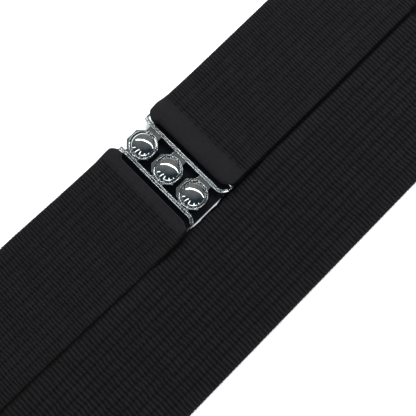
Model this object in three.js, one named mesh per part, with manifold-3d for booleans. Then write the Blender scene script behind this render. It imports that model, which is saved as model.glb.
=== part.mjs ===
// A wide elastic belt with a chrome clasp of three domed studs, fastened and laid down.
// Millimetres, +Z up. X runs along the belt and Y across it, from the back half to the front half.
// The loop lies leant over: the front half shows its outer face and the back half its inner face,
// side by side on the floor, and both ends of the loop stand on edge where they turn round.
// The origin is on the floor, level with the middle of the clasp and halfway across the belt.

import * as THREE from "three";
import * as BufferGeometryUtils from "three/addons/utils/BufferGeometryUtils.js";
import Module from "manifold-3d";

const wasm = await Module();
wasm.setup();

// Gap kept between pieces that touch on the real belt.
const clearance = 0.3;

// Elastic webbing.
const webbingWidth = 50.8;
const webbingThickness = 1.5;
const frontWidth = 46;
const selvageRound = 0.5;

// Course of the loop.
const laneGap = 0.5;
const flatLength = 120;
const liftLength = 75;
const twistLength = 95;

// Folded ends of the webbing.
const tailLength = 8.6;
const paddedLength = 5.6;
const stitchedLength = 3.5;
const rampLength = 11;
const cornerInset = 4.3;
const foldShift = 0.9;
const barDiameter = 1.1;

// Guard flap behind the clasp.
const flapWidth = 41.5;
const flapThickness = 1;
const flapEdge = 0.2;
const flapReach = 17;

// Clasp plates.
const sheet = 0.9;
const railSpacing = 15.2;
const railWidth = 1.5;
const railWall = 0.45;
const railHeight = 2.3;
const railGrooveDepth = 1.4;
const foldGap = 2.1;
const armWidth = 1.4;
const studPlateLength = 44.4;
const studPlateShift = 0.9;
const studCurlRadius = 3.5;
const studCurlAngle = 84;
const studFlareRadius = 8;
const studFlareAngle = 28;
const catchPlateLength = 42.5;
const catchPlateShift = 1.45;
const catchCurlRadius = 4.1;
const catchCurlAngle = 50;
const catchFlareRadius = 8;
const catchFlareAngle = 8;

// Studs.
const studPitch = 14.2;
const studOffset = -0.65;
const brimDiameter = 11.9;
const brimThickness = 0.7;
const domeDiameter = 9.8;
const domeHeight = 2.7;
const stemDiameter = 3.6;
const rivetHeadDiameter = 5;
const rivetHeadHeight = 0.5;
const padLength = 13;
const padShift = 0.4;
const padReach = 5.2;
const padFace = 5.4;
const padTab = 6.7;

// Hooks of the catch plate.
const hookWall = 2.4;
const hookNeckWidth = 6;

// Heights, from the floor up.
const flapTop = flapThickness;
const tailMiddle = flapTop + clearance + webbingThickness / 2;
const foldRadius = barDiameter / 2 + clearance + webbingThickness / 2;
const barHeight = tailMiddle + foldRadius;
const topMiddle = barHeight + foldRadius;
const stitchedMiddle = tailMiddle + webbingThickness + clearance;
const plateBottom = barHeight - barDiameter / 2;
const plateTop = plateBottom + sheet;
const hookBottom = plateTop + clearance;
const hookTop = hookBottom + sheet;
const railTop = Math.max(plateBottom + railHeight, hookTop);
const brimBottom = railTop + clearance;

// Places along and across the belt.
const railX = railSpacing / 2;
const crestX = railX + railWidth / 2 + foldGap;
const barX = crestX + webbingThickness / 2 + foldRadius;
const seamY = (webbingWidth - frontWidth) / 2;
const frontMiddle = seamY + laneGap / 2 + frontWidth / 2;
const backMiddle = seamY - laneGap / 2 - webbingWidth / 2;
const foldMiddle = frontMiddle - foldShift;
const studMiddle = frontMiddle - studPlateShift;
const studNames = ["lower", "middle", "upper"];

const chrome = new THREE.MeshStandardMaterial({ color: 0xb9c0c2, roughness: 0.12, metalness: 1 });
const elastic = new THREE.MeshStandardMaterial({ color: 0x1f1f21, roughness: 0.95, metalness: 0 });
const flapCloth = new THREE.MeshStandardMaterial({ color: 0x0e1116, roughness: 0.95, metalness: 0 });

function smooth(share) {
  const s = THREE.MathUtils.clamp(share, 0, 1);
  return s * s * (3 - 2 * s);
}

function steps(count) {
  return Array.from({ length: count }, (_, i) => (i + 1) / count);
}

// Turns the faces of a closed geometry outward.
function facingOut(geometry) {
  const position = geometry.attributes.position;
  const index = geometry.index.array;
  const [a, b, c] = [new THREE.Vector3(), new THREE.Vector3(), new THREE.Vector3()];
  let volume = 0;
  for (let i = 0; i < index.length; i += 3) {
    a.fromBufferAttribute(position, index[i]);
    b.fromBufferAttribute(position, index[i + 1]);
    c.fromBufferAttribute(position, index[i + 2]);
    volume += a.dot(b.cross(c));
  }
  if (volume < 0) {
    for (let i = 0; i < index.length; i += 3) {
      [index[i], index[i + 1]] = [index[i + 1], index[i]];
    }
  }
  return geometry;
}

// A closed skin over rings of points, capped flat at both ends.
function loft(rings, capOutline) {
  const size = capOutline.length;
  const position = rings.flat().flatMap((p) => [p.x, p.y, p.z]);
  const index = [];
  for (let row = 0; row + 1 < rings.length; row += 1) {
    for (let i = 0; i < size; i += 1) {
      const next = (i + 1) % size;
      const [p, q] = [row * size + i, row * size + next];
      index.push(p, q, q + size, p, q + size, p + size);
    }
  }
  const last = (rings.length - 1) * size;
  const clockwise = THREE.ShapeUtils.isClockWise(capOutline);
  for (const face of THREE.ShapeUtils.triangulateShape(capOutline, [])) {
    const [p, q, r] = clockwise ? face.reverse() : face;
    index.push(p, r, q);
    index.push(last + p, last + q, last + r);
  }
  const geometry = new THREE.BufferGeometry();
  geometry.setAttribute("position", new THREE.Float32BufferAttribute(position, 3));
  geometry.setIndex(index);
  return facingOut(geometry);
}

function toSolid(geometry) {
  const bare = geometry.clone();
  bare.deleteAttribute("normal");
  bare.deleteAttribute("uv");
  const merged = BufferGeometryUtils.mergeVertices(bare, 1e-4);
  return new wasm.Manifold(
    new wasm.Mesh({
      numProp: 3,
      vertProperties: new Float32Array(merged.attributes.position.array),
      triVerts: new Uint32Array(merged.index.array),
    }),
  );
}

function toGeometry(solid) {
  const mesh = solid.getMesh();
  const geometry = new THREE.BufferGeometry();
  geometry.setAttribute("position", new THREE.BufferAttribute(mesh.vertProperties, 3));
  geometry.setIndex(new THREE.BufferAttribute(mesh.triVerts, 1));
  return geometry;
}

// A flat outline given as [x, y] corners, raised from one height to another.
function prism(corners, bottom, top) {
  const shape = new THREE.Shape(corners.map(([x, y]) => new THREE.Vector2(x, y)));
  const geometry = new THREE.ExtrudeGeometry(shape, { depth: top - bottom, bevelEnabled: false });
  return geometry.translate(0, 0, bottom);
}

function block(x0, x1, y0, y1, z0, z1) {
  return prism([[x0, y0], [x1, y0], [x1, y1], [x0, y1]], z0, z1);
}

// Outline of the webbing: across its width and through its thickness.
function webbingOutline(width) {
  const half = width / 2;
  const t = webbingThickness / 2;
  const round = Math.min(selvageRound, t);
  const side = [
    [-half + round, t],
    [-half / 3, t],
    [half / 3, t],
    [half - round, t],
    [half, t - round],
  ];
  const under = side.map(([b, n]) => [-b, -n]);
  return [...side, ...under].map(([b, n]) => new THREE.Vector2(b, n));
}

// One station of the webbing: its middle, the way its width runs and the way its outer face looks.
function station(x, y, z, across, outward, width) {
  return {
    middle: new THREE.Vector3(x, y, z),
    across: new THREE.Vector3(...across).normalize(),
    outward: new THREE.Vector3(...outward).normalize(),
    width,
  };
}

// A station of the front half in the X-Z plane, whose outer face is tipped by a slope.
function frontStation(x, z, facing, width = frontWidth, middle = foldMiddle) {
  return station(x, middle, z, [0, -1, 0], [Math.sin(facing), 0, Math.cos(facing)], width);
}

// The fold round the bar, from the tail underneath to the top layer.
function foldStations() {
  const turns = 8;
  const stations = [frontStation(barX + tailLength, tailMiddle, Math.PI)];
  for (let i = 0; i <= turns; i += 1) {
    const angle = Math.PI * (i / turns);
    const x = barX - foldRadius * Math.sin(angle);
    const z = barHeight - foldRadius * Math.cos(angle);
    const under = Math.min(1, 0.5 + 0.7 * Math.sin(angle));
    const over = Math.abs(Math.sin(angle)) ** 0.6;
    const drawnIn = cornerInset * (angle < Math.PI / 2 ? under : over);
    stations.push(frontStation(x, z, Math.PI + angle, frontWidth - 2 * drawnIn));
  }
  return stations;
}

// Slopes of the top layer from the bar down over the tail to the floor.
function rampStations() {
  const ramps = [
    { from: barX + barDiameter, length: paddedLength, high: topMiddle, low: stitchedMiddle, shift: 0 },
    {
      from: barX + barDiameter + paddedLength + stitchedLength,
      length: rampLength,
      high: stitchedMiddle,
      low: webbingThickness / 2,
      shift: foldShift,
    },
  ];
  const stations = [];
  for (const { from, length, high, low, shift } of ramps) {
    for (const share of [0, ...steps(5)]) {
      const z = high + (low - high) * smooth(share);
      const slope = (6 * share * (1 - share) * (high - low)) / length;
      const middle = foldMiddle + shift * smooth(share);
      stations.push(frontStation(from + length * share, z, Math.atan(slope), frontWidth, middle));
    }
  }
  return stations;
}

// Half of the turn at the end of the loop, from where the front half lifts to where the back lies.
function turnStations() {
  const radius = (frontMiddle - backMiddle) / 2;
  const turnY = (frontMiddle + backMiddle) / 2;
  const arc = Math.PI * radius;
  const whole = 2 * liftLength + arc;
  const straights = steps(13).map((share) => share * liftLength);
  const bends = steps(16).map((share) => liftLength + share * arc);
  const returns = steps(13).map((share) => liftLength + arc + share * liftLength);
  return [0, ...straights, ...bends, ...returns].map((run) => {
    const rise = smooth(run / twistLength);
    const fall = smooth((whole - run) / twistLength);
    const lean = (Math.PI / 2) * (rise + 1 - fall);
    const turned = THREE.MathUtils.clamp((run - liftLength) / radius, 0, Math.PI);
    const before = Math.min(run, liftLength);
    const after = Math.max(0, run - liftLength - arc);
    const x = flatLength + before - after + radius * Math.sin(turned);
    const y = turnY + radius * Math.cos(turned);
    const right = [-Math.sin(turned), -Math.cos(turned)];
    const [c, s] = [Math.cos(lean), Math.sin(lean)];
    const width = frontWidth + (webbingWidth - frontWidth) * smooth((2 * run) / whole);
    const z = (width / 2) * s + (webbingThickness / 2) * Math.abs(c);
    return station(x, y, z, [right[0] * c, right[1] * c, s], [-right[0] * s, -right[1] * s, c], width);
  });
}

function mirrored({ middle, across, outward, width }) {
  const flip = new THREE.Vector3(-1, 1, 1);
  return {
    middle: middle.clone().multiply(flip),
    across: across.clone().multiply(flip),
    outward: outward.clone().multiply(flip),
    width,
  };
}

function webbingGeometry() {
  const half = [...foldStations(), ...rampStations(), ...turnStations()];
  const otherHalf = half.map(mirrored).reverse();
  const rings = [...half, ...otherHalf].map(({ middle, across, outward, width }) =>
    webbingOutline(width).map(({ x: b, y: n }) =>
      middle.clone().addScaledVector(across, b).addScaledVector(outward, n),
    ),
  );
  return loft(rings, webbingOutline(frontWidth));
}

function guardFlapGeometry() {
  const low = seamY + flapEdge;
  return block(-flapReach, flapReach, low, low + flapWidth, 0, flapTop);
}

// Where a plate ends, and how its rail bends there: curled at its low end and flared at its high end.
function plateEnds(length, shift, curlRadius, curlAngle, flareRadius, flareAngle) {
  const curl = THREE.MathUtils.degToRad(curlAngle);
  const flare = THREE.MathUtils.degToRad(flareAngle);
  const middle = frontMiddle - shift;
  return {
    low: { y: middle - length / 2, radius: curlRadius, angle: curl, reach: curlRadius * (1 - Math.cos(curl)) },
    high: { y: middle + length / 2, radius: flareRadius, angle: flare, reach: flareRadius * (1 - Math.cos(flare)) },
  };
}

const studEnds = plateEnds(
  studPlateLength, studPlateShift, studCurlRadius, studCurlAngle, studFlareRadius, studFlareAngle);
const catchEnds = plateEnds(
  catchPlateLength, catchPlateShift, catchCurlRadius, catchCurlAngle, catchFlareRadius, catchFlareAngle);

// Course of a rail seen from above, from its curled low end to its flared high end.
function railCourse({ low, high }) {
  const curlStart = low.y + low.radius * Math.sin(low.angle);
  const flareStart = high.y - high.radius * Math.sin(high.angle);
  const course = [];
  for (const share of [1, 0.8, 0.6, 0.4, 0.2, 0]) {
    const angle = low.angle * share;
    const x = railX + low.radius * (1 - Math.cos(angle));
    course.push({ x, y: curlStart - low.radius * Math.sin(angle), heading: -angle });
  }
  for (const share of [0, 0.2, 0.4, 0.6, 0.8, 1]) {
    const angle = high.angle * share;
    const x = railX + high.radius * (1 - Math.cos(angle));
    course.push({ x, y: flareStart + high.radius * Math.sin(angle), heading: angle });
  }
  return course;
}

// A grooved rail: an upright channel of sheet metal, open at the top.
function railGeometry(ends) {
  const half = railWidth / 2;
  const inner = half - railWall;
  const grooveBottom = railTop - railGrooveDepth;
  const outline = [
    [-half, plateBottom],
    [half, plateBottom],
    [half, railTop],
    [inner, railTop],
    [inner, grooveBottom],
    [-inner, grooveBottom],
    [-inner, railTop],
    [-half, railTop],
  ].map(([side, z]) => new THREE.Vector2(side, z));
  const rings = railCourse(ends).map(({ x, y, heading }) =>
    outline.map(
      ({ x: side, y: z }) =>
        new THREE.Vector3(x + side * Math.cos(heading), y - side * Math.sin(heading), z),
    ),
  );
  return loft(rings, outline);
}

// The bar inside the fold, with an arm at each end that joins it to the rail.
function barSolid({ low, high }) {
  const sides = 12;
  const bar = new THREE.CylinderGeometry(barDiameter / 2, barDiameter / 2, high.y - low.y, sides);
  bar.translate(barX, (low.y + high.y) / 2, barHeight);
  let solid = toSolid(bar);
  for (const { y, reach } of [low, high]) {
    const half = armWidth / 2;
    const armStart = railX + reach - half;
    const armEnd = barX + barDiameter / 2;
    const arm = block(armStart, armEnd, y - half, y + half, plateBottom, plateBottom + barDiameter);
    solid = solid.add(toSolid(arm));
  }
  return solid;
}

function studY(i) {
  return studMiddle + (i - (studNames.length - 1) / 2) * studPitch;
}

// An eight-cornered pad under one stud, with a tab on its right side that runs into the rail.
function padSolid(i) {
  const low = studY(i) + padShift - padLength / 2;
  const high = low + padLength;
  const left = studOffset - padReach;
  const [faceLeft, faceRight] = [studOffset - padFace / 2, studOffset + padFace / 2];
  const [leftChamfer, rightChamfer] = [faceLeft - left, (padLength - padTab) / 2];
  const corners = [
    [left, low + leftChamfer],
    [faceLeft, low],
    [faceRight, low],
    [faceRight + rightChamfer, low + rightChamfer],
    [railX, low + rightChamfer],
    [railX, high - rightChamfer],
    [faceRight + rightChamfer, high - rightChamfer],
    [faceRight, high],
    [faceLeft, high],
    [left, high - leftChamfer],
  ];
  const hole = new THREE.CylinderGeometry(
    stemDiameter / 2 + clearance, stemDiameter / 2 + clearance, sheet * 4, 20);
  hole.rotateX(Math.PI / 2).translate(studOffset, studY(i), plateBottom);
  return toSolid(prism(corners, plateBottom, plateTop)).subtract(toSolid(hole));
}

function studPlateGeometry() {
  let plate = toSolid(railGeometry(studEnds)).add(barSolid(studEnds));
  studNames.forEach((_, i) => {
    plate = plate.add(padSolid(i));
  });
  return toGeometry(plate);
}

// One hook of the catch plate: a ring round the neck of a stud, open towards the seam.
function hookSolid(i) {
  const y = studY(i);
  const sides = 24;
  const eye = stemDiameter / 2 + clearance;
  const disc = new THREE.CylinderGeometry(eye + hookWall, eye + hookWall, sheet, sides);
  disc.rotateX(Math.PI / 2).translate(studOffset, y, (hookBottom + hookTop) / 2);
  const neck = block(-railX, studOffset, y - hookNeckWidth / 2, y + hookNeckWidth / 2, hookBottom, hookTop);
  const hole = new THREE.CylinderGeometry(eye, eye, sheet * 4, sides);
  hole.rotateX(Math.PI / 2).translate(studOffset, y, hookBottom);
  const mouth = block(studOffset - eye, studOffset + eye, y - 2 * (eye + hookWall), y,
    hookBottom - sheet, hookTop + sheet);
  return toSolid(disc).add(toSolid(neck)).subtract(toSolid(hole)).subtract(toSolid(mouth));
}

function catchPlateGeometry() {
  const flip = new THREE.Matrix4().makeScale(-1, 1, 1);
  const rightHanded = toGeometry(toSolid(railGeometry(catchEnds)).add(barSolid(catchEnds)));
  let plate = toSolid(facingOut(rightHanded.applyMatrix4(flip)));
  studNames.forEach((_, i) => {
    plate = plate.add(hookSolid(i));
  });
  return toGeometry(plate);
}

// A domed knob with a brim, its neck and the head of its rivet under the pad, turned about Z.
function studGeometry() {
  const stem = stemDiameter / 2;
  const brim = brimDiameter / 2;
  const dome = domeDiameter / 2;
  const headTop = plateBottom - clearance;
  const profile = [
    [0, headTop - rivetHeadHeight],
    [rivetHeadDiameter / 2, headTop - rivetHeadHeight],
    [rivetHeadDiameter / 2, headTop],
    [stem, headTop],
    [stem, brimBottom],
    [brim, brimBottom],
    [brim, brimBottom + brimThickness * 0.6],
    [brim - brimThickness * 0.4, brimBottom + brimThickness],
    [dome, brimBottom + brimThickness * 0.7],
  ];
  const rise = domeHeight - brimThickness * 0.7;
  for (const share of steps(5)) {
    const angle = (Math.PI / 2) * share;
    const radius = share === 1 ? 0 : dome * Math.cos(angle);
    profile.push([radius, brimBottom + brimThickness * 0.7 + rise * Math.sin(angle)]);
  }
  const points = profile.map(([r, z]) => new THREE.Vector2(r, z));
  return new THREE.LatheGeometry(points, 24).rotateX(Math.PI / 2);
}

function piece(name, geometry, material) {
  const mesh = new THREE.Mesh(geometry, material);
  mesh.name = name;
  return mesh;
}

const belt = new THREE.Group();
belt.add(piece("elastic_webbing", webbingGeometry(), elastic));
belt.add(piece("guard_flap", guardFlapGeometry(), flapCloth));

const clasp = new THREE.Group();
clasp.add(piece("stud_plate", studPlateGeometry(), chrome));
clasp.add(piece("catch_plate", catchPlateGeometry(), chrome));
studNames.forEach((name, i) => {
  const knob = piece(`stud_knob_${name}`, studGeometry(), chrome);
  knob.position.set(studOffset, studY(i), 0);
  clasp.add(knob);
});
belt.add(clasp);

export default belt;
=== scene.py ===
"""A wide black elastic belt with a chrome clasp of three domed studs, fastened and lying on a pale floor.

Sizes are in millimetres in the tables and turned to metres where vertices are made. X runs along the belt,
Y across it and Z up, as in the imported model.
"""

import math

import bmesh
import bpy
import numpy as np
from mathutils import Matrix, Vector


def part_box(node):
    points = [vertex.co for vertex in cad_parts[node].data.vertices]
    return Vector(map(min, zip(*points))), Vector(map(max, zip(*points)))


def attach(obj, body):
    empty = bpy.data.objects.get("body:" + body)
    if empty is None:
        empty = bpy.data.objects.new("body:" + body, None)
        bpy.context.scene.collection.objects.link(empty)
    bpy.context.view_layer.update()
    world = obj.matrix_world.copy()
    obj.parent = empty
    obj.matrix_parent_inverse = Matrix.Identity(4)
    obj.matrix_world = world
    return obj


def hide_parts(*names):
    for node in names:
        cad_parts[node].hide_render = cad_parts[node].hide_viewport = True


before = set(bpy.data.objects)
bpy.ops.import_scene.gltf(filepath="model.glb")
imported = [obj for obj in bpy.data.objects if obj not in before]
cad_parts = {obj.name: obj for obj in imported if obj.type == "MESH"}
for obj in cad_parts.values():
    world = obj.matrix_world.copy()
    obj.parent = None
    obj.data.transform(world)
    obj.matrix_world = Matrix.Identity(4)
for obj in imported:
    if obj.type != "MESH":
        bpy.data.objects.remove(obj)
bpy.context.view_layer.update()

MM = 0.001

# Webbing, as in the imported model.
WEBBING_WIDTH = 50.8
WEBBING_THICKNESS = 1.5
FRONT_WIDTH = 46.0
LANE_GAP = 0.5
SEAM_Y = (WEBBING_WIDTH - FRONT_WIDTH) / 2
FRONT_MIDDLE = SEAM_Y + LANE_GAP / 2 + FRONT_WIDTH / 2
BACK_MIDDLE = SEAM_Y - LANE_GAP / 2 - WEBBING_WIDTH / 2
FLAT_LENGTH = 120.0
LIFT_LENGTH = 75.0
TWIST_LENGTH = 95.0

# Folded ends.
CLEARANCE = 0.3
TAIL_LENGTH = 8.6
PADDED_LENGTH = 5.6
STITCHED_LENGTH = 3.5
RAMP_LENGTH = 11.0
CORNER_INSET = 1.9
FOLD_SHIFT = 0.9
BAR_DIAMETER = 1.1
FLAP_THICKNESS = 1.0

# Clasp plates.
SHEET = 0.9
RAIL_SPACING = 15.2
RAIL_WIDTH = 1.5
RAIL_WALL = 0.45
RAIL_HEIGHT = 2.3
RAIL_GROOVE_DEPTH = 1.4
FOLD_GAP = 2.1
# Edges of the arms, from the plate's end: at its low end and at its high end.
ARM_LOW = (-0.7, -0.3)
ARM_HIGH = (-0.45, 0.3)

# Studs.
STUD_PITCH = 14.2
STUD_OFFSET = -0.65
BRIM_RADIUS = 5.95
BRIM_THICKNESS = 0.7
DOME_RADIUS = 4.9
DOME_HEIGHT = 2.7
STEM_RADIUS = 1.8
PAD_LENGTH = 12.5
PAD_SHIFT = 0.9
PAD_REACH = 5.2
PAD_FACE = 5.4
PAD_TAB = 6.7
HOOK_WALL = 2.4
HOOK_NECK_WIDTH = 6.0

# Heights above the floor.
TAIL_MIDDLE = FLAP_THICKNESS + CLEARANCE + WEBBING_THICKNESS / 2
FOLD_RADIUS = BAR_DIAMETER / 2 + CLEARANCE + WEBBING_THICKNESS / 2
BAR_HEIGHT = TAIL_MIDDLE + FOLD_RADIUS
TOP_MIDDLE = BAR_HEIGHT + FOLD_RADIUS
STITCHED_MIDDLE = TAIL_MIDDLE + WEBBING_THICKNESS + CLEARANCE
PLATE_BOTTOM = BAR_HEIGHT - BAR_DIAMETER / 2
PLATE_TOP = PLATE_BOTTOM + SHEET
HOOK_BOTTOM = PLATE_TOP + CLEARANCE
HOOK_TOP = HOOK_BOTTOM + SHEET
RAIL_TOP = PLATE_BOTTOM + RAIL_HEIGHT
BRIM_BOTTOM = RAIL_TOP + CLEARANCE

# Places along and across the belt.
RAIL_X = RAIL_SPACING / 2
CREST_X = RAIL_X + RAIL_WIDTH / 2 + FOLD_GAP
BAR_X = CREST_X + WEBBING_THICKNESS / 2 + FOLD_RADIUS
FOLD_MIDDLE = FRONT_MIDDLE - FOLD_SHIFT
STUD_MIDDLE = FRONT_MIDDLE - 0.9
STUDS = {
    "lower": STUD_MIDDLE - STUD_PITCH,
    "middle": STUD_MIDDLE,
    "upper": STUD_MIDDLE + STUD_PITCH,
}
# Ends of each plate: middle, length, then radius and angle of the rail's curl and of its flare.
STUD_ENDS = (STUD_MIDDLE, 44.4, 3.5, math.radians(84), 8.0, math.radians(28))
CATCH_ENDS = (FRONT_MIDDLE - 1.45, 42.5, 4.1, math.radians(50), 8.0, math.radians(8))

# Where the two halves meet, as the belt lies: place along the belt, and how far the seam strays across it.
SEAM_LINE = {
    "along": (
        *(-112, -92, -67, -45, -28, -18, -11, -9, -6),
        *(-3, 1, 4, 7, 20, 47, 75, 102, 112),
    ),
    "across": (
        *(0.8, 0.75, 0.25, -0.35, -0.5, -0.5, 0, -0.5, -0.72),
        *(-0.5, -0.5, -0.72, 0, -0.1, -0.4, -0.4, -0.05, 0),
    ),
}
# How far the upper edge of the front half strays outward.
UPPER_EDGE = {
    "along": (-112, -63, -40, -26, -15, 8, 14, 17, 22, 40, 77, 112),
    "across": (1.2, 1.1, 0.5, 0.2, 0, 0.2, 0.6, 0.5, 0.1, 0.1, 0.45, 0.6),
}
# How far in the lower edge of the back half is.
BACK_EDGE_IN = 0.45
# Past the flat stretch the edges go back to plain over this length.
FLAT_FADE = 12.0
# Where the smooth padded ends stop and the ribs begin, along the belt.
PADDED_TO = {"right": 20.3, "left": 15.4}
# How far the two halves press into each other's rounded selvage, and how far that selvage sinks.
SEAM_PRESS = 0.25
SEAM_SINK = 0.5
SEAM_ROUND = 1.4
# Every selvage thins a little towards its edge.
SELVAGE_FALL = 0.3
SELVAGE_ROUND = 3.0
# How far in from the selvage the crease between the halves gets painted shade, and how dark that painted
# shade is there.
CREASE_REACH = {"right": 0.72, "left": 0.42}
CREASE_SHADE = {"right": 1.25, "left": 1.0}
CREASE_FADE = 0.5
# How far the corners of a fold bulge past its straight crest: at the upper edge and at the seam.
EARS = {"right": (1.5, -1.5), "left": (2.15, -0.6)}
# Where across the webbing each bulge starts, and over what length it grows: upper edge, then seam.
EAR_START = (16.7, 16.5)
EAR_GROWTH = (2.0, 5.0)
# How much a height over the floor moves a point up across the belt as the camera sees it.
SEEN_SHIFT = 0.117

# Weave: weft ribs across the webbing, and rows of binding warp along it.
RIB_PITCH_FRONT = 1.42
RIB_PITCH_BACK = 1.71
RIB_DEPTH_FRONT = 0.42
RIB_DEPTH_BACK = 0.48
ROW_PITCH = 4.03
ROW_COUNT = 10
ROW_DEPTH_FRONT = 0.32
ROW_DEPTH_BACK = 0.55
ROW_SPREAD = 0.42
# The rows stand a little closer in the drawn-in front half.
ROW_SCALE_FRONT = 0.978
EDGE_ROUND = 0.75
# Unevenness of the ribs: share of the pitch, and size of the patches that sway together.
WIDE_SWAY = (0.16, 14)
NARROW_SWAY = (0.07, 4)
ROW_STEP = 0.08
RIB_FULLNESS = 1.6
UNEVEN_DEPTH = (0.25, 6)
# The least that is left of half the thickness where rib and row both sink.
THINNEST = 0.16

# Fine ribs of the tape behind the clasp.
FLAP_RIB_DEPTH = 0.08
FLAP_RIB_PITCH = 0.9

# Stitches across each fold.
STITCH_COUNT = 16
STITCH_PITCH = 2.6
STITCH_REACH = 1.05
STITCH_RADIUS = 0.2

# Camera, fitted to the edges of the belt and the rails in the photograph.
CAMERA_LENS = 50.1
CAMERA_DISTANCE = 232.2
CAMERA_TILT = math.radians(9.38)
CAMERA_TURN = math.radians(44.52)
CAMERA_ROLL = math.radians(0.31)
CAMERA_AIM = (0.44, -1.07)

# Lamps round the clasp: bearing and rise in degrees, distance and size in metres, and power in watts.
KEY_LAMP = (42, 54, 0.5, (0.14, 0.14), 2.1)
STRIP_LAMP = (23, 61, 0.3, (0.023, 1.15), 0.9)
WALL_LAMP = (222, 12, 0.6, (0.5, 0.16), 0.7)
# Windows of the room at the left: bearing in degrees, and height of the pane in metres.
WINDOWS = {137: 0.5, 165: 0.85, 193: 0.75, 230: 0.5, 260: 0.25}
WINDOW_WIDTH = 0.05
WINDOW_DISTANCE = 0.7
WINDOW_SILL = 0.13
WINDOW_POWER = 0.65


def linear(hex_colour):
    """A colour given as sRGB hex, as the linear RGBA that shaders take."""
    channels = [int(hex_colour[i : i + 2], 16) / 255 for i in (1, 3, 5)]
    return [c / 12.92 if c <= 0.04045 else ((c + 0.055) / 1.055) ** 2.4 for c in channels] + [1]


def add_node(tree, kind, inputs=None, **settings):
    """Adds a node; inputs maps a socket's name or number to a value or to another node's output."""
    node = tree.nodes.new(kind)
    for name, value in settings.items():
        setattr(node, name, value)
    for key, value in (inputs or {}).items():
        if isinstance(value, bpy.types.NodeSocket):
            tree.links.new(value, node.inputs[key])
        else:
            node.inputs[key].default_value = value
    return node


def new_material(name):
    material = bpy.data.materials.new(name)
    material.use_nodes = True
    material.node_tree.nodes.clear()
    return material, material.node_tree


def finish_material(tree, shader):
    add_node(tree, "ShaderNodeOutputMaterial", {"Surface": shader.outputs[0]})


def ramp(tree, factor, stops):
    """A colour ramp from {position: hex colour}."""
    node = add_node(tree, "ShaderNodeValToRGB", {"Fac": factor})
    elements = node.color_ramp.elements
    while len(elements) > 1:
        elements.remove(elements[-1])
    for i, (position, colour) in enumerate(stops.items()):
        element = elements[0] if i == 0 else elements.new(position)
        element.position = position
        element.color = linear(colour)
    return node.outputs["Color"]


def woven_elastic():
    """Polyester-covered rubber elastic, shuttle woven: dull black yarn, darkened by painted shade between the
    ribs and in the crease, so that the raised ribs read grey.
    """
    material, tree = new_material("woven_polyester_elastic")
    place = add_node(tree, "ShaderNodeUVMap", uv_map="weave").outputs["UV"]
    # Yarn of 0.35 mm, running along the ribs, drawn as fine lines on the rib's back.
    yarn_scale = (1 / 0.00035, 1 / 0.0022, 1)
    yarn_place = add_node(tree, "ShaderNodeMapping", {"Vector": place, "Scale": yarn_scale})
    yarn = add_node(tree, "ShaderNodeTexNoise", {"Vector": yarn_place.outputs[0], "Scale": 1, "Detail": 3})
    # Patches of yarn that took the dye a little unevenly, about 9 mm across.
    patches = add_node(tree, "ShaderNodeTexNoise", {"Vector": place, "Scale": 1 / 0.009, "Detail": 4})
    dye = add_node(
        tree,
        "ShaderNodeMapRange",
        {"Value": patches.outputs["Fac"], "From Min": 0.3, "From Max": 0.7, "To Min": 0.43, "To Max": 0.57},
    )
    mixed = add_node(
        tree,
        "ShaderNodeMath",
        {0: yarn.outputs["Fac"], 1: dye.outputs[0]},
        operation="MULTIPLY",
    )
    # Painted shade: between the ribs the yarn lies deep and takes hardly any light, so its colour is darkened
    # there, and in the crease it is darkened further and has no gloss.
    depth_and_painted_shade = add_node(tree, "ShaderNodeAttribute", attribute_name="depth_and_painted_shade").outputs["Fac"]
    gloss = add_node(
        tree,
        "ShaderNodeMapRange",
        {"Value": depth_and_painted_shade, "From Min": 0.7, "From Max": 1.3, "To Min": 0.22, "To Max": 0.0},
    )
    depth = add_node(
        tree,
        "ShaderNodeMath",
        {0: depth_and_painted_shade, 1: -0.76, 2: mixed.outputs[0]},
        operation="MULTIPLY_ADD",
    )
    # The darkest stops carry the painted shade of the rib valleys and of the crease.
    shades = {0.0: "#030304", 0.1: "#0f0f11", 0.28: "#19191b", 0.5: "#262629"}
    colour = ramp(tree, depth.outputs[0], shades)
    bump = add_node(
        tree,
        "ShaderNodeBump",
        {"Height": yarn.outputs["Fac"], "Strength": 0.5, "Distance": 0.00008},
    )
    shader = add_node(
        tree,
        "ShaderNodeBsdfPrincipled",
        {
            "Base Color": colour,
            "Roughness": 0.8,
            "Specular IOR Level": gloss.outputs[0],
            "Sheen Weight": 0.06,
            "Sheen Roughness": 0.5,
            "Normal": bump.outputs[0],
        },
    )
    finish_material(tree, shader)
    return material


def flap_cloth():
    """Tightly woven black tape, duller and darker than the elastic because it lies in its shade; its darker
    colour is painted shade.
    """
    material, tree = new_material("woven_black_tape")
    place = add_node(tree, "ShaderNodeTexCoord").outputs["Object"]
    thread = add_node(tree, "ShaderNodeTexNoise", {"Vector": place, "Scale": 1 / 0.0006, "Detail": 3})
    # Black yarn, its colour darkened by painted shade.
    colour = ramp(tree, thread.outputs["Fac"], {0.3: "#08090b", 0.7: "#131519"})
    bump = add_node(
        tree,
        "ShaderNodeBump",
        {"Height": thread.outputs["Fac"], "Strength": 0.4, "Distance": 0.0001},
    )
    shader = add_node(
        tree,
        "ShaderNodeBsdfPrincipled",
        {"Base Color": colour, "Roughness": 0.9, "Specular IOR Level": 0.2, "Normal": bump.outputs[0]},
    )
    finish_material(tree, shader)
    return material


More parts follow.
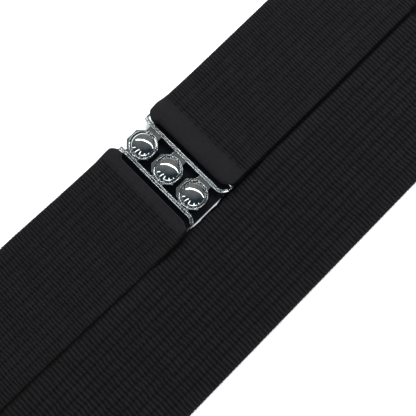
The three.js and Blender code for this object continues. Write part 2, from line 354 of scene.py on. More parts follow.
def chrome_plate():
    """Steel stamped, polished and chrome plated: a bright mirror with faint marks and handling haze."""
    material, tree = new_material("polished_chrome_plate")
    place = add_node(tree, "ShaderNodeTexCoord").outputs["Object"]
    # Haze patches of about 3 mm, and polishing marks of 0.15 mm.
    haze = add_node(tree, "ShaderNodeTexNoise", {"Vector": place, "Scale": 1 / 0.003, "Detail": 4})
    marks = add_node(tree, "ShaderNodeTexNoise", {"Vector": place, "Scale": 1 / 0.00015, "Detail": 2})
    roughness = add_node(
        tree,
        "ShaderNodeMapRange",
        {"Value": haze.outputs["Fac"], "From Min": 0.3, "From Max": 0.7, "To Min": 0.05, "To Max": 0.13},
    )
    colour = ramp(tree, haze.outputs["Fac"], {0.3: "#b4bcbf", 0.7: "#ced3d4"})
    bump = add_node(
        tree,
        "ShaderNodeBump",
        {"Height": marks.outputs["Fac"], "Strength": 0.02, "Distance": 0.00002},
    )
    shader = add_node(
        tree,
        "ShaderNodeBsdfPrincipled",
        {
            "Base Color": colour,
            "Metallic": 1.0,
            "Roughness": roughness.outputs[0],
            "Normal": bump.outputs[0],
        },
    )
    finish_material(tree, shader)
    return material


def sewing_thread():
    """Spun polyester thread, black, dull like the cloth that it sinks into."""
    material, tree = new_material("spun_polyester_thread")
    place = add_node(tree, "ShaderNodeTexCoord").outputs["Object"]
    ply = add_node(tree, "ShaderNodeTexNoise", {"Vector": place, "Scale": 1 / 0.0002, "Detail": 2})
    colour = ramp(tree, ply.outputs["Fac"], {0.3: "#070708", 0.7: "#131314"})
    shader = add_node(
        tree,
        "ShaderNodeBsdfPrincipled",
        {"Base Color": colour, "Roughness": 0.75, "Specular IOR Level": 0.3},
    )
    finish_material(tree, shader)
    return material


def pale_floor():
    """White seamless paper, lit so that it burns out."""
    material, tree = new_material("white_paper")
    shader = add_node(
        tree,
        "ShaderNodeBsdfPrincipled",
        {
            "Base Color": linear("#f6f7f8"),
            "Roughness": 0.9,
            "Emission Color": linear("#f2f6f7"),
            "Emission Strength": 0.2,
        },
    )
    finish_material(tree, shader)
    return material


MATERIALS = {
    "elastic": woven_elastic(),
    "flap": flap_cloth(),
    "chrome": chrome_plate(),
    "thread": sewing_thread(),
    "floor": pale_floor(),
}


def smooth(share):
    share = np.clip(share, 0, 1)
    return share * share * (3 - 2 * share)


def link(obj):
    bpy.context.scene.collection.objects.link(obj)
    return obj


def dress(obj, material, slot, *nodes):
    """Gives a piece its material and body, and hides the imported nodes it stands for; the slot is not used.
    """
    obj.data.materials.clear()
    obj.data.materials.append(MATERIALS[material])
    for face in obj.data.polygons:
        # Flat sheet keeps true flat faces, so that only its rounded edges bend the reflections.
        face.use_smooth = abs(face.normal.z) < 0.999 or face.area < 4 * MM * MM
    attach(obj, "root")
    if nodes:
        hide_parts(*nodes)


def grid_mesh(name, rings):
    """A capped tube of quads over rings of points, an array of shape (rings, points, 3) in millimetres."""
    count, size, _ = rings.shape
    ids = np.arange(count * size).reshape(count, size)
    around = np.roll(ids, -1, axis=1)
    quads = np.stack([ids[:-1], around[:-1], around[1:], ids[1:]], axis=-1).reshape(-1, 4)
    faces = quads.tolist()
    faces.append(ids[0][::-1].tolist())
    faces.append(ids[-1].tolist())
    mesh = bpy.data.meshes.new(name)
    mesh.from_pydata((rings.reshape(-1, 3) * MM).tolist(), [], faces)
    mesh.update()
    return link(bpy.data.objects.new(name, mesh))


def face_out(obj):
    """Turns a closed mesh's faces outward."""
    shape = bmesh.new()
    shape.from_mesh(obj.data)
    if shape.calc_volume(signed=True) < 0:
        bmesh.ops.reverse_faces(shape, faces=shape.faces)
    shape.to_mesh(obj.data)
    shape.free()
    return obj


def half_course():
    """The middle line of half the loop, from the tail under the right fold to the back at X = 0.

    Each row holds the place, the direction of the width, the direction of the outer face and the width.
    """
    rows = []

    def front(x, z, facing, width, middle=FOLD_MIDDLE):
        rows.append((x, middle, z, 0, -1, 0, math.sin(facing), 0, math.cos(facing), width))

    for x in np.linspace(BAR_X + TAIL_LENGTH, BAR_X, 20, endpoint=False):
        front(x, TAIL_MIDDLE, math.pi, FRONT_WIDTH - CORNER_INSET)
    for angle in np.linspace(0, math.pi, 30):
        over_bar = 1 - smooth(2 * angle / math.pi - 1)
        under_bar = min(1, 0.5 + 0.7 * math.sin(angle))
        drawn_in = CORNER_INSET * (under_bar if angle < math.pi / 2 else over_bar)
        front(
            BAR_X - FOLD_RADIUS * math.sin(angle),
            BAR_HEIGHT - FOLD_RADIUS * math.cos(angle),
            math.pi + angle,
            FRONT_WIDTH - 2 * drawn_in,
        )
    padded_from = BAR_X + BAR_DIAMETER
    ramp_from = padded_from + PADDED_LENGTH + STITCHED_LENGTH
    slopes = (
        (padded_from, PADDED_LENGTH, TOP_MIDDLE, STITCHED_MIDDLE, 0),
        (ramp_from, RAMP_LENGTH, STITCHED_MIDDLE, WEBBING_THICKNESS / 2, FOLD_SHIFT),
    )
    for start, length, high, low, shift in slopes:
        for share in np.linspace(0, 1, 24):
            slope = 6 * share * (1 - share) * (high - low) / length
            x, z = start + length * share, high + (low - high) * smooth(share)
            front(x, z, math.atan(slope), FRONT_WIDTH, FOLD_MIDDLE + shift * smooth(share))
    radius = (FRONT_MIDDLE - BACK_MIDDLE) / 2
    turn_y = (FRONT_MIDDLE + BACK_MIDDLE) / 2
    arc = math.pi * radius
    whole = 2 * LIFT_LENGTH + arc
    for run in np.linspace(0, whole, 400):
        rise, fall = smooth(run / TWIST_LENGTH), smooth((whole - run) / TWIST_LENGTH)
        lean = math.pi / 2 * (rise + 1 - fall)
        turned = min(max((run - LIFT_LENGTH) / radius, 0), math.pi)
        before, after = min(run, LIFT_LENGTH), max(0, run - LIFT_LENGTH - arc)
        right = (-math.sin(turned), -math.cos(turned))
        c, s = math.cos(lean), math.sin(lean)
        width = FRONT_WIDTH + (WEBBING_WIDTH - FRONT_WIDTH) * smooth(2 * run / whole)
        rows.append(
            (
                FLAT_LENGTH + before - after + radius * math.sin(turned),
                turn_y + radius * math.cos(turned),
                width / 2 * s + WEBBING_THICKNESS / 2 * abs(c),
                right[0] * c,
                right[1] * c,
                s,
                -right[0] * s,
                -right[1] * s,
                c,
                width,
            )
        )
    rows.append((0, BACK_MIDDLE, WEBBING_THICKNESS / 2, 0, -1, 0, 0, 0, -1, WEBBING_WIDTH))
    return np.array(rows, float)


COURSE = half_course()
RUN = np.concatenate([[0], np.cumsum(np.linalg.norm(np.diff(COURSE[:, :3], axis=0), axis=1))])


def run_at(x, going_out):
    """How far along the course the belt passes X = x, on its front half or on its back half."""
    tip = int(np.argmax(COURSE[:, 0]))
    if going_out:
        crest = int(np.argmin(COURSE[:60, 0]))
        return float(np.interp(x, COURSE[crest:tip, 0], RUN[crest:tip]))
    return float(np.interp(-x, -COURSE[tip:, 0], RUN[tip:]))


def rib_counts():
    """Ribs passed at places from the start of the course, with the pitch growing from front to back."""
    fine = np.linspace(0, RUN[-1], 4000)
    lift = run_at(FLAT_LENGTH, True)
    land = run_at(FLAT_LENGTH, False)
    pitch = RIB_PITCH_FRONT + (RIB_PITCH_BACK - RIB_PITCH_FRONT) * smooth((fine - lift) / (land - lift))
    ribs = np.concatenate([[0], np.cumsum(np.diff(fine) / ((pitch[1:] + pitch[:-1]) / 2))])
    # A whole number of ribs, so that the two halves of the loop meet in a groove.
    ribs *= round(ribs[-1]) / ribs[-1]
    return fine, ribs


def wander(run, across, seed, size):
    """Slow unevenness made of a few sine waves, from -1 to 1, over patches of about the given size."""
    rng = np.random.default_rng(seed)
    total = 0
    for _ in range(6):
        kx, ky = rng.normal(0, 2 * math.pi / size, 2)
        total = total + np.sin(run * kx + across * ky + rng.uniform(0, 2 * math.pi))
    return total / 6


def across_places(down, up, row_scale, detailed):
    """Places across the face of the webbing, denser where the binding rows sink in, one line per ring."""
    fine_steps = (-1.4, -0.9, -0.5, -0.2, 0.2, 0.5, 0.9, 1.4, ROW_PITCH / 2)
    steps = fine_steps if detailed else (-0.5, 0.5, 1.5)
    rows = (np.arange(ROW_COUNT) - (ROW_COUNT - 1) / 2) * ROW_PITCH
    inner = np.array([row + step for row in rows for step in steps])
    inner = inner[np.abs(inner) < rows[-1] + ROW_PITCH / 2 - 0.01]
    middle = inner[None, :] * row_scale[:, None]
    shares = np.linspace(0, 1, 7 if detailed else 4)[1:]
    last = middle[:, -1:]
    towards_down = last + (down[:, None] - EDGE_ROUND - last) * shares
    first = middle[:, :1]
    towards_up = first - (up[:, None] - EDGE_ROUND + first) * shares
    return np.concatenate([towards_up[:, ::-1], middle, towards_down], axis=1)


def lies_flat(x):
    """1 where the belt lies flat, falling to 0 where it lifts towards its turned ends."""
    return 1 - smooth((np.abs(x) - FLAT_LENGTH) / FLAT_FADE)


def edge_places(place, width, flip):
    """Half widths towards -Y and towards +Y, so that the halves meet at the seam and stray at their edges."""
    away, y = np.abs(place[:, 0]), place[:, 1]
    x = -away if flip else away
    seam = SEAM_Y + np.interp(x, SEAM_LINE["along"], SEAM_LINE["across"])
    upper = np.interp(x, UPPER_EDGE["along"], UPPER_EDGE["across"])
    on_front = y > SEAM_Y
    to_front = smooth((away - BAR_X + 1) / 5) * lies_flat(away) * on_front
    lifted = SEEN_SHIFT * (place[:, 2] - WEBBING_THICKNESS / 2)
    to_back = lies_flat(away) * ~on_front
    down = width / 2 + (y - seam + SEAM_PRESS + lifted - width / 2) * to_front - BACK_EDGE_IN * to_back
    up = width / 2 + (seam + SEAM_PRESS - y - width / 2) * to_back + upper * to_front
    return down, up


def along_course(start, end, samples_per_rib):
    """The rings of one stretch: ribs passed, how far along the course, and the course's fields there."""
    fine, ribs = rib_counts()
    first, last = (round(float(np.interp(r, fine, ribs))) for r in (start, end))
    marks = np.arange(first * samples_per_rib, last * samples_per_rib + 1) / samples_per_rib
    runs = np.interp(marks, ribs, fine)
    runs[0] = start if first == 0 else runs[0]
    runs[-1] = min(runs[-1], RUN[-1])
    if abs(end - RUN[-1]) < 1e-6:
        runs[-1] = end
    fields = np.stack([np.interp(runs, RUN, COURSE[:, i]) for i in range(COURSE.shape[1])], axis=1)
    return marks, runs, fields


def sections(down, up, row_scale, fine_face):
    """Each ring's outline, as places across the webbing and through it, with rounded selvages."""
    half_t = WEBBING_THICKNESS / 2
    top_b = across_places(down, up, row_scale, fine_face == "outer")
    under_b = across_places(down, up, row_scale, fine_face == "inner")
    corner = np.linspace(0, math.pi / 2, 5)[1:]
    turn_b = EDGE_ROUND * (np.sin(corner) - 1)
    turn_n = half_t * np.cos(corner)
    around_b = np.concatenate([turn_b, turn_b[-2::-1]])
    around_n = np.concatenate([turn_n, -turn_n[-2::-1]])
    near_n = np.broadcast_to(around_n, (len(down), len(around_n)))
    b_all = np.concatenate(
        [top_b, down[:, None] + around_b, under_b[:, ::-1], -(up[:, None] + around_b)], axis=1
    )
    top_n = np.full_like(top_b, half_t)
    under_n = np.full_like(under_b, -half_t)
    return b_all, np.concatenate([top_n, near_n, under_n, -near_n], axis=1)


def weave_relief(marks, runs, b_all, from_edge, width, row_scale, seed):
    """How deep the surface sinks between ribs and along binding rows, and how near it is to a valley."""
    stretch = (FRONT_WIDTH, WEBBING_WIDTH)
    rib_depth = np.interp(width, stretch, (RIB_DEPTH_FRONT, RIB_DEPTH_BACK))[:, None]
    row_depth = np.interp(width, stretch, (ROW_DEPTH_FRONT, ROW_DEPTH_BACK))[:, None]
    row_place = b_all / (ROW_PITCH * row_scale[:, None]) + (ROW_COUNT - 1) / 2
    nearest = np.clip(np.round(row_place), 0, ROW_COUNT - 1)
    from_row = np.abs(row_place - nearest) * ROW_PITCH

    run_all = np.broadcast_to(runs[:, None], b_all.shape)
    mark_all = np.broadcast_to(marks[:, None], b_all.shape)
    sway = WIDE_SWAY[0] * wander(run_all, b_all, seed, WIDE_SWAY[1])
    sway = sway + NARROW_SWAY[0] * wander(run_all, b_all, seed + 1, NARROW_SWAY[1])
    step = ROW_STEP * np.sin(nearest * 2.4 + seed)
    # The ribs straighten where two pieces of the mesh meet, so that the joint falls in a plain groove.
    calm = (smooth((runs - runs[0]) / 6) * smooth((runs[-1] - runs) / 6))[:, None]
    rib = np.abs(np.sin(math.pi * (mark_all + (sway + step) * calm)))
    valley = 1 - rib**RIB_FULLNESS
    bound = np.exp(-((from_row / ROW_SPREAD) ** 2))
    uneven = 1 + UNEVEN_DEPTH[0] * wander(run_all, b_all, seed + 2, UNEVEN_DEPTH[1])
    inside = smooth(from_edge / 1.6)
    depth_and_painted_shade = rib_depth * valley * uneven * (0.45 + 0.55 * inside)
    depth_and_painted_shade = depth_and_painted_shade + row_depth * bound * (0.25 + 0.75 * valley) * inside
    return depth_and_painted_shade, valley


def webbing_piece(name, start, end, samples_per_rib, fine_face, flip, seed):
    """One stretch of webbing between two places on the course, ribbed on both faces.

    The face of the loop that lies upwards has the finer mesh.
    """
    hand = "left" if flip else "right"
    marks, runs, fields = along_course(start, end, samples_per_rib)
    place, across, outward, width = fields[:, 0:3], fields[:, 3:6], fields[:, 6:9], fields[:, 9]
    across /= np.linalg.norm(across, axis=1, keepdims=True)
    outward /= np.linalg.norm(outward, axis=1, keepdims=True)
    on_front = place[:, 1:2] > SEAM_Y
    down, up = edge_places(place, width, flip)
    row_scale = np.interp(width, (FRONT_WIDTH, WEBBING_WIDTH), (ROW_SCALE_FRONT, 1.0))
    b_all, n_all = sections(down, up, row_scale, fine_face)
    from_edge = np.where(b_all > 0, down[:, None], up[:, None]) - np.abs(b_all)

    # The padded ends are smooth, and the ribs start past them.
    weave = np.where(on_front, smooth((place[:, :1] - PADDED_TO[hand] + 1.2) / 2.4), 1)
    depth_and_painted_shade, valley = weave_relief(marks, runs, b_all, from_edge, width, row_scale, seed)
    depth_and_painted_shade = depth_and_painted_shade * (0.1 + 0.9 * weave)
    at_seam = np.where(on_front, b_all > 0, b_all < 0)
    fall = SELVAGE_FALL * (1 - smooth(from_edge / SELVAGE_ROUND))
    fall = fall + SEAM_SINK * (1 - smooth(from_edge / SEAM_ROUND)) * at_seam
    half_t = np.abs(n_all)
    top = np.sign(n_all) * np.maximum(half_t - depth_and_painted_shade - fall, THINNEST * half_t)
    b_all = b_all - np.sign(b_all) * 0.1 * valley * (from_edge < 0.7) * weave

    rings = (
        place[:, None, :]
        + across[:, None, :] * b_all[..., None]
        + outward[:, None, :] * top[..., None]
    )
    near_bar = 1 - smooth((place[:, :1] - CREST_X) / 5)
    ear = EARS[hand][0] * smooth((-b_all - EAR_START[0]) / EAR_GROWTH[0])
    ear = ear + EARS[hand][1] * smooth((b_all - EAR_START[1]) / EAR_GROWTH[1])
    rings[..., 0] -= ear * near_bar * on_front
    if flip:
        rings[..., 0] *= -1
    obj = face_out(grid_mesh(name, rings))

    # The selvage turns down into the crease between the two halves, where no light reaches it. That shade,
    # and the shade between the ribs, is painted into the elastic's colour through a mesh attribute.
    run_all = np.broadcast_to(runs[:, None], b_all.shape)
    crease_end = CREASE_REACH[hand] + 0.1 * valley + 0.2 * wander(run_all, b_all, seed + 3, 9)
    crease_shade_mask = at_seam * lies_flat(place[:, :1]) * (1 - smooth((from_edge - crease_end) / CREASE_FADE))
    shade = depth_and_painted_shade / (RIB_DEPTH_BACK + ROW_DEPTH_BACK) + CREASE_SHADE[hand] * crease_shade_mask
    layer = obj.data.attributes.new("depth_and_painted_shade", "FLOAT", "POINT")
    layer.data.foreach_set("value", shade.astype(np.float32).ravel())
    layer = obj.data.uv_layers.new(name="weave")
    corners = np.empty(len(obj.data.loops), np.int32)
    obj.data.loops.foreach_get("vertex_index", corners)
    flat = np.stack([run_all.ravel(), b_all.ravel()], axis=1) * MM
    layer.data.foreach_set("uv", flat[corners].astype(np.float32).ravel())
    dress(obj, "elastic", "woven_elastic", "elastic_webbing")


def webbing():
    lift, land = run_at(FLAT_LENGTH, True), run_at(FLAT_LENGTH, False)
    for side, flip, seed in (("right", False, 11), ("left", True, 47)):
        webbing_piece(f"webbing_front_{side}", 0.0, lift, 6, "outer", flip, seed)
        webbing_piece(f"webbing_turn_{side}", lift, land, 4, None, flip, seed)
        webbing_piece(f"webbing_back_{side}", land, RUN[-1], 5, "inner", flip, seed)


def bevelled(name, outline_sets, bottom, top, bevel):
    """Flat plates of sheet metal: each outline is a list of (x, y) corners, extruded and rounded off."""
    shape = bmesh.new()
    for outline in outline_sets:
        low = [shape.verts.new((x * MM, y * MM, bottom * MM)) for x, y in outline]
        face = shape.faces.new(low)
        made = bmesh.ops.extrude_face_region(shape, geom=[face])
        moved = [v for v in made["geom"] if isinstance(v, bmesh.types.BMVert)]
        bmesh.ops.translate(shape, verts=moved, vec=(0, 0, (top - bottom) * MM))
    bmesh.ops.recalc_face_normals(shape, faces=shape.faces)
    mesh = bpy.data.meshes.new(name)
    shape.to_mesh(mesh)
    shape.free()
    obj = link(bpy.data.objects.new(name, mesh))
    edge = obj.modifiers.new("rounded_edge", "BEVEL")
    edge.width = bevel * MM
    edge.segments = 3
    edge.limit_method = "ANGLE"
    edge.angle_limit = math.radians(35)
    return obj


def rail_course(ends):
    """Course of a rail seen from above, from its curled low end to its flared high end."""
    middle, length, curl_radius, curl_angle, flare_radius, flare_angle = ends
    curl_start = middle - length / 2 + curl_radius * math.sin(curl_angle)
    flare_start = middle + length / 2 - flare_radius * math.sin(flare_angle)
    course = []
    for angle in np.linspace(curl_angle, 0, 25):
        x = RAIL_X + curl_radius * (1 - math.cos(angle))
        course.append((x, curl_start - curl_radius * math.sin(angle), -angle))
    for share in np.linspace(0, 1, 12)[1:-1]:
        course.append((RAIL_X, curl_start + (flare_start - curl_start) * share, 0))
    for angle in np.linspace(0, flare_angle, 13):
        x = RAIL_X + flare_radius * (1 - math.cos(angle))
        course.append((x, flare_start + flare_radius * math.sin(angle), angle))
    return np.array(course)


def rounded(points, radius, steps=4):
    """A closed outline whose corners are rounded off by a quadratic curve of the given reach."""
    out = []
    count = len(points)
    for i, point in enumerate(points):
        here = np.array(point, float)
        for_prev = np.array(points[i - 1], float) - here
        for_next = np.array(points[(i + 1) % count], float) - here
        reach_prev = min(radius, np.linalg.norm(for_prev) * 0.49)
        reach_next = min(radius, np.linalg.norm(for_next) * 0.49)
        start = here + for_prev / np.linalg.norm(for_prev) * reach_prev
        end = here + for_next / np.linalg.norm(for_next) * reach_next
        for t in np.linspace(0, 1, steps):
            out.append((1 - t) ** 2 * start + 2 * t * (1 - t) * here + t**2 * end)
    return np.array(out)


def rail_rings(ends):
    """Sections of a grooved rail along its course, lower towards both ends."""
    half, inner = RAIL_WIDTH / 2, RAIL_WIDTH / 2 - RAIL_WALL
    groove = RAIL_TOP - RAIL_GROOVE_DEPTH
    outline = rounded(
        [
            (-half, PLATE_BOTTOM),
            (half, PLATE_BOTTOM),
            (half, RAIL_TOP),
            (inner, RAIL_TOP),
            (inner, groove),
            (-inner, groove),
            (-inner, RAIL_TOP),
            (-half, RAIL_TOP),
        ],
        0.2,
    )
    course = rail_course(ends)
    across, z = outline[:, 0], outline[:, 1]
    run = np.concatenate([[0], np.cumsum(np.linalg.norm(np.diff(course[:, :2], axis=0), axis=1))])
    from_end = np.minimum(run, run[-1] - run)
    full = 0.5 + 0.5 * smooth(from_end / 3.0)
    rings = []
    for (x, y, heading), height in zip(course, full):
        lowered = PLATE_BOTTOM + (z - PLATE_BOTTOM) * height
        rings.append(
            np.stack([x + across * math.cos(heading), y - across * math.sin(heading), lowered], axis=1)
        )
    return np.array(rings)


def bar_rings(ends):
    """The round bar inside the fold, from one arm to the other."""
    middle, length = ends[:2]
    angles = np.linspace(0, 2 * math.pi, 16, endpoint=False)
    side, rise = np.cos(angles) * BAR_DIAMETER / 2, np.sin(angles) * BAR_DIAMETER / 2
    rings = []
    for y in np.linspace(middle - length / 2, middle + length / 2, 30):
        rings.append(np.stack([BAR_X + side, np.full_like(side, y), BAR_HEIGHT + rise], axis=1))
    return np.array(rings)


def arm_outlines(ends):
    """Seen from above, the two flat arms that join the bar to the ends of the rail."""
    middle, length, curl_radius, curl_angle, flare_radius, flare_angle = ends
    outlines = []
    for y, radius, angle, edges in (
        (middle - length / 2, curl_radius, curl_angle, ARM_LOW),
        (middle + length / 2, flare_radius, flare_angle, ARM_HIGH),
    ):
        start, end = RAIL_X + radius * (1 - math.cos(angle)), BAR_X + BAR_DIAMETER / 2
        low, high = y + edges[0], y + edges[1]
        outlines.append([(start, low), (end, low), (end, high), (start, high)])
    return outlines


def join(name, parts):
    """Joins parts, with their modifiers applied, into one mesh."""
    depsgraph = bpy.context.evaluated_depsgraph_get()
    shape = bmesh.new()
    for part in parts:
        shape.from_mesh(part.evaluated_get(depsgraph).to_mesh())
    mesh = bpy.data.meshes.new(name)
    shape.to_mesh(mesh)
    shape.free()
    for part in parts:
        old = part.data
        bpy.data.objects.remove(part)
        bpy.data.meshes.remove(old)
    return link(bpy.data.objects.new(name, mesh))


def pad_outline(stud_y):
    """A pad with cut corners under a stud, and the tab that joins it to the right rail."""
    low = stud_y + PAD_SHIFT - PAD_LENGTH / 2
    high = low + PAD_LENGTH
    left = STUD_OFFSET - PAD_REACH
    face_left, face_right = STUD_OFFSET - PAD_FACE / 2, STUD_OFFSET + PAD_FACE / 2
    left_chamfer, right_chamfer = face_left - left, (PAD_LENGTH - PAD_TAB) / 2
    return [
        (left, low + left_chamfer),
        (face_left, low),
        (face_right, low),
        (face_right + right_chamfer, low + right_chamfer),
        (RAIL_X, low + right_chamfer),
        (RAIL_X, high - right_chamfer),
        (face_right + right_chamfer, high - right_chamfer),
        (face_right, high),
        (face_left, high),
        (left, high - left_chamfer),
    ]


def hook_outline(stud_y):
    """A hook round the neck of a stud, open towards the seam, with its tab running into the left rail."""
    eye = STEM_RADIUS + CLEARANCE
    outer = eye + HOOK_WALL
    neck = HOOK_NECK_WIDTH / 2
    start = math.asin(neck / outer)
    points = [(-RAIL_X, stud_y + neck)]
    for angle in np.linspace(math.pi - start, 0, 20):
        points.append((STUD_OFFSET + outer * math.cos(angle), stud_y + outer * math.sin(angle)))
    foot = -math.acos(eye / outer)
    for angle in np.linspace(0, foot, 8)[1:]:
        points.append((STUD_OFFSET + outer * math.cos(angle), stud_y + outer * math.sin(angle)))
    for angle in np.linspace(0, math.pi, 16):
        points.append((STUD_OFFSET + eye * math.cos(angle), stud_y + eye * math.sin(angle)))
    points.append((STUD_OFFSET - eye, stud_y - neck))
    points.append((-RAIL_X, stud_y - neck))
    return points


def plates():
    for name, ends, side, outlines, bottom, top in (
        ("stud_plate", STUD_ENDS, 1, [pad_outline(y) for y in STUDS.values()], PLATE_BOTTOM, PLATE_TOP),
        ("catch_plate", CATCH_ENDS, -1, [hook_outline(y) for y in STUDS.values()], HOOK_BOTTOM, HOOK_TOP),
    ):
        mirror = np.array([side, 1, 1])
        arms = [[(side * x, y) for x, y in outline] for outline in arm_outlines(ends)]
        parts = [
            bevelled("flat", outlines, bottom, top, 0.18),
            bevelled("arms", arms, PLATE_BOTTOM, PLATE_TOP, 0.1),
            face_out(grid_mesh("rail", rail_rings(ends) * mirror)),
            face_out(grid_mesh("bar", bar_rings(ends) * mirror)),
        ]
        dress(join(f"{name}_polished", parts), "chrome", "chrome", name)


def stud_profile():
    """Radius and height of a stud from the rivet under the pad to the top of its dome."""
    head = 2.5
    head_top = PLATE_BOTTOM - CLEARANCE
    head_bottom = head_top - 0.5
    lip = 0.3
    brim_top = BRIM_BOTTOM + BRIM_THICKNESS
    profile = [(0, head_bottom), (head * 0.7, head_bottom), (head * 0.93, head_bottom + 0.12)]
    profile += [(head, head_bottom + 0.3), (head * 0.97, head_top), (STEM_RADIUS, head_top)]
    profile += [(STEM_RADIUS, BRIM_BOTTOM), (BRIM_RADIUS - lip, BRIM_BOTTOM)]
    middle = (BRIM_BOTTOM + brim_top) / 2
    for angle in np.linspace(-math.pi / 2, math.pi / 2, 11)[1:]:
        rise = (brim_top - BRIM_BOTTOM) / 2
        profile.append((BRIM_RADIUS - lip + lip * math.cos(angle), middle + rise * math.sin(angle)))
    # A shallow trough between the lip of the brim and the foot of the dome.
    trough = 0.28
    foot = DOME_RADIUS + 0.05
    for share in np.linspace(0, 1, 8)[1:]:
        r = BRIM_RADIUS - lip - (BRIM_RADIUS - lip - foot) * share
        profile.append((r, brim_top - trough * float(smooth(share))))
    base = brim_top - trough
    rise = BRIM_BOTTOM + DOME_HEIGHT - base
    for angle in np.linspace(0, math.pi / 2, 32)[1:]:
        profile.append((foot * math.cos(angle), base + rise * math.sin(angle)))
    profile[-1] = (0, base + rise)
    return profile


def studs():
    profile = stud_profile()
    sides = 96
    angles = np.linspace(0, 2 * math.pi, sides, endpoint=False)
    for name, stud_y in STUDS.items():
        shape = bmesh.new()
        rings = []
        for r, z in profile:
            if r < 1e-6:
                rings.append([shape.verts.new((STUD_OFFSET * MM, stud_y * MM, z * MM))])
                continue
            rings.append(
                [
                    shape.verts.new(
                        ((STUD_OFFSET + r * math.cos(a)) * MM, (stud_y + r * math.sin(a)) * MM, z * MM)
                    )
                    for a in angles
                ]
            )
        for low, high in zip(rings, rings[1:]):
            for i in range(sides):
                j = (i + 1) % sides
                corners = [low[i % len(low)], low[j % len(low)], high[j % len(high)], high[i % len(high)]]
                shape.faces.new(list(dict.fromkeys(corners)))
        bmesh.ops.recalc_face_normals(shape, faces=shape.faces)
        mesh = bpy.data.meshes.new(f"stud_{name}")
        shape.to_mesh(mesh)
        shape.free()
        stud = link(bpy.data.objects.new(f"stud_{name}_domed", mesh))
        dress(stud, "chrome", "chrome", f"stud_knob_{name}")


def guard_flap():
    """The tape behind the clasp: fine ribs along X and softly rounded edges."""
    low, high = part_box("guard_flap")
    x0, x1, y0, y1 = low[0] / MM, high[0] / MM, low[1] / MM, high[1] / MM
    xs = np.linspace(x0, x1, 60)
    half_t = FLAP_THICKNESS / 2
    ys = np.linspace(y0 + 0.4, y1 - 0.4, 110)
    edge = [(y1 - 0.1, half_t * 0.6), (y1, 0), (y1 - 0.1, -half_t * 0.6)]
    other = [(y0 + 0.1, -half_t * 0.6), (y0, 0), (y0 + 0.1, half_t * 0.6)]
    outline = [(y, half_t) for y in ys] + edge + [(y, -half_t) for y in ys[::-1]] + other
    outline = np.array(outline)
    rings = []
    for x in xs:
        y, n = outline[:, 0], outline[:, 1]
        rib = 0.5 - 0.5 * np.cos(2 * math.pi * y / FLAP_RIB_PITCH)
        ribs = FLAP_RIB_DEPTH * rib * (0.7 + 0.3 * math.sin(x * 4))
        z = half_t + n - np.sign(n) * ribs * (np.abs(n) > half_t * 0.9)
        rings.append(np.stack([np.full_like(y, x), y, z], axis=1))
    flap = face_out(grid_mesh("guard_flap_woven", np.array(rings)))
    dress(flap, "flap", "flap_cloth", "guard_flap")


def stitches():
    """The row of stitches across each fold that holds its tail down, one mesh for each side."""
    x = BAR_X + BAR_DIAMETER + PADDED_LENGTH + STITCHED_LENGTH / 2
    z = STITCHED_MIDDLE + WEBBING_THICKNESS / 2
    angles = np.linspace(0, 2 * math.pi, 10, endpoint=False)
    for side, sign in (("right", 1), ("left", -1)):
        parts = []
        for i in range(STITCH_COUNT):
            y = FOLD_MIDDLE + (i - (STITCH_COUNT - 1) / 2) * STITCH_PITCH
            rings = []
            for share in np.linspace(-1, 1, 9):
                thick = STITCH_RADIUS * math.sqrt(1 - (0.95 * share) ** 2)
                crown = z - 0.05 - 0.35 * share**2
                here = y + share * STITCH_REACH
                rings.append(
                    [(sign * (x + thick * math.cos(a)), here, crown + thick * math.sin(a)) for a in angles]
                )
            parts.append(face_out(grid_mesh("stitch", np.array(rings))))
        dress(join(f"stitches_{side}", parts), "thread", "woven_elastic")


def camera():
    """Placed by the tilt, turn and distance that put the belt's edges where the photograph has them."""
    turn, tilt, roll = CAMERA_TURN, CAMERA_TILT, CAMERA_ROLL
    right = Vector((math.cos(turn), -math.sin(turn), 0))
    level_up = Vector((math.sin(turn), math.cos(turn), 0))
    up = level_up * math.cos(tilt) + Vector((0, 0, math.sin(tilt)))
    ahead = level_up * math.sin(tilt) - Vector((0, 0, math.cos(tilt)))
    aim_x, aim_y = CAMERA_AIM
    depth = CAMERA_DISTANCE + aim_y * math.sin(tilt)
    seam = Vector((0, SEAM_Y, 0))
    place = seam - (right * aim_x + up * (aim_y * math.cos(tilt)) + ahead * depth)
    rolled_right = right * math.cos(roll) - up * math.sin(roll)
    rolled_up = right * math.sin(roll) + up * math.cos(roll)
    data = bpy.data.cameras.new("camera")
    data.lens = CAMERA_LENS
    data.sensor_width = 36
    data.clip_start = 0.01
    cam = link(bpy.data.objects.new("camera", data))
    axes = Matrix((rolled_right, rolled_up, -ahead)).transposed().to_4x4()
    cam.matrix_world = Matrix.Translation(place * MM) @ axes
    bpy.context.scene.camera = cam


def area_light(name, place, aim, size, power, colour="#ffffff"):
    data = bpy.data.lights.new(name, "AREA")
    data.shape = "RECTANGLE"
    data.size, data.size_y = size
    data.energy = power
    data.color = linear(colour)[:3]
    lamp = link(bpy.data.objects.new(name, data))
    lamp.location = place
    lamp.rotation_euler = (Vector(aim) - Vector(place)).to_track_quat("-Z", "Y").to_euler()
    return lamp


def long_side_towards(place, aim, along):
    """Turns a lamp to face its aim with its long side as near as can be to the given direction."""
    back = (Vector(place) - Vector(aim)).normalized()
    long_side = Vector(along)
    long_side = (long_side - back * long_side.dot(back)).normalized()
    short_side = long_side.cross(back)
    return Matrix((short_side, long_side, back)).transposed().to_euler()


def floor():
    mesh = bpy.data.meshes.new("paper_floor")
    reach = 3.0
    corners = [(-reach, -reach, 0), (reach, -reach, 0), (reach, reach, 0), (-reach, reach, 0)]
    mesh.from_pydata(corners, [], [(0, 1, 2, 3)])
    paper = link(bpy.data.objects.new("paper_floor", mesh))
    paper.location.z = -0.0001
    paper.data.materials.append(MATERIALS["floor"])


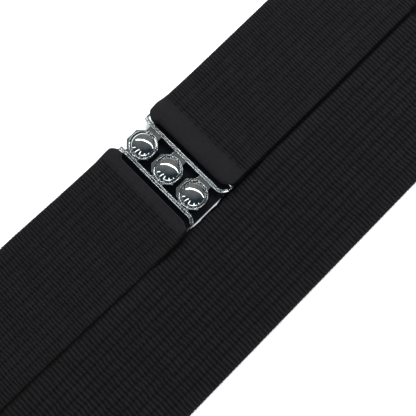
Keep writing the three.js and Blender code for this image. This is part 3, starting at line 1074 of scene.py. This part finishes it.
def lamps():
    clasp = Vector((0, 0.025, 0.005))

    def out_from_clasp(bearing, rise, reach):
        bearing, rise = math.radians(bearing), math.radians(rise)
        flat = reach * math.cos(rise)
        return clasp + Vector((flat * math.cos(bearing), flat * math.sin(bearing), reach * math.sin(rise)))

    # Two soft lamps light cloth and paper, and are kept out of the mirror of the chrome.
    *key_place, size, power = KEY_LAMP
    area_light("key", out_from_clasp(*key_place), clasp, size, power).visible_glossy = False
    area_light("fill", (0, -0.2, 1.4), clasp, (1.2, 1.2), 6.0, "#f1f6ff").visible_glossy = False
    # The long strip that draws the bright streak on each dome.
    *strip_place, size, power = STRIP_LAMP
    nearest = out_from_clasp(*strip_place)
    along = Vector((0.42, -0.91, 0))
    strip = area_light("strip", nearest + along * 0.175, clasp, size, power)
    strip.rotation_euler = long_side_towards(nearest, clasp, along)
    # A low pale wall behind the windows brightens the near side of each brim.
    *wall_place, size, power = WALL_LAMP
    area_light("wall", out_from_clasp(*wall_place), clasp, size, power)
    # Upright windows at the left, seen as short dashes near the foot of each dome.
    for bearing, height in WINDOWS.items():
        middle = Vector((0, 0, WINDOW_SILL + height / 2))
        place = out_from_clasp(bearing, 0, WINDOW_DISTANCE) + middle
        area_light(f"window_{bearing}", place, clasp, (WINDOW_WIDTH, height), WINDOW_POWER * height)


def room():
    """The dim room that the chrome mirrors where no lamp is."""
    world = bpy.data.worlds.new("tent")
    world.use_nodes = True
    tree = world.node_tree
    tree.nodes.clear()
    direction = add_node(tree, "ShaderNodeTexCoord").outputs["Generated"]
    # Brighter towards the strip's side of the room, dark and bluish on the other.
    side = add_node(
        tree,
        "ShaderNodeVectorMath",
        {0: direction, 1: (0.62, 0.62, 0.3)},
        operation="DOT_PRODUCT",
    )
    share = add_node(tree, "ShaderNodeMapRange", {0: side.outputs["Value"], 1: -0.8, 2: 0.9, 3: 0, 4: 1})
    shades = {0.0: "#1b2630", 0.45: "#2f3a42", 0.7: "#6d6f6f", 1.0: "#8a8783"}
    colour = ramp(tree, share.outputs[0], shades)
    background = add_node(tree, "ShaderNodeBackground", {"Color": colour, "Strength": 1.0})
    add_node(tree, "ShaderNodeOutputWorld", {"Surface": background.outputs[0]})
    bpy.context.scene.world = world
    bpy.context.scene.view_settings.view_transform = "Standard"


camera()
floor()
lamps()
room()
webbing()
guard_flap()
stitches()
plates()
studs()
